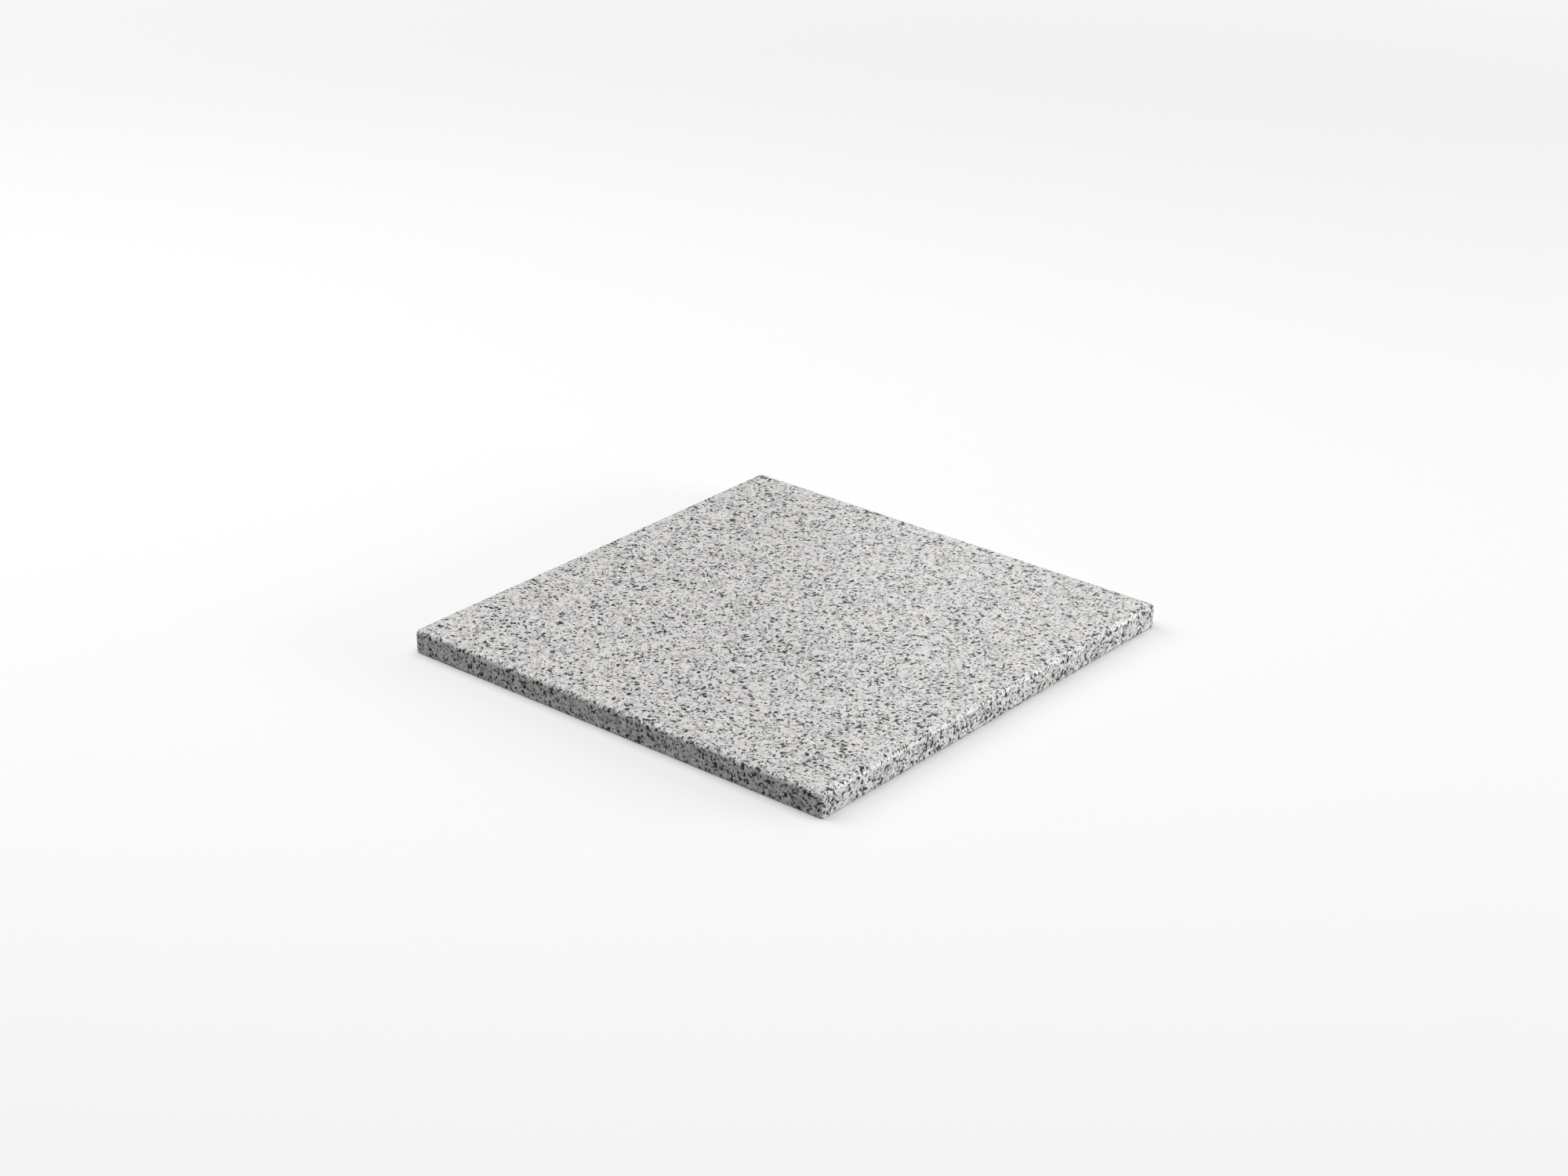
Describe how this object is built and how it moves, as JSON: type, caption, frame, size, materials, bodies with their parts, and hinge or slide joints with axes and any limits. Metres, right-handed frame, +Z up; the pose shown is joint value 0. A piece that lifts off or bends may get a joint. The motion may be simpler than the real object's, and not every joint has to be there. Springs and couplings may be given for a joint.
{
  "type": "granite slab",
  "caption": "Flat square slab of speckled pale grey granite with a polished top and rounded edges, a hard base for stamping, punching and skiving leather.",
  "frame": {"origin": "middle of the underside, on the surface that the slab rests on", "axes": "+Z up, out of the working face; +X and +Y square to two edge faces"},
  "size_m": [0.3, 0.3, 0.015],
  "materials": {
    "granite": "polished on top, honed edges, sawn underside"
  },
  "bodies": {
    "root": {"granite_slab": "granite"}
  },
  "joints": []
}
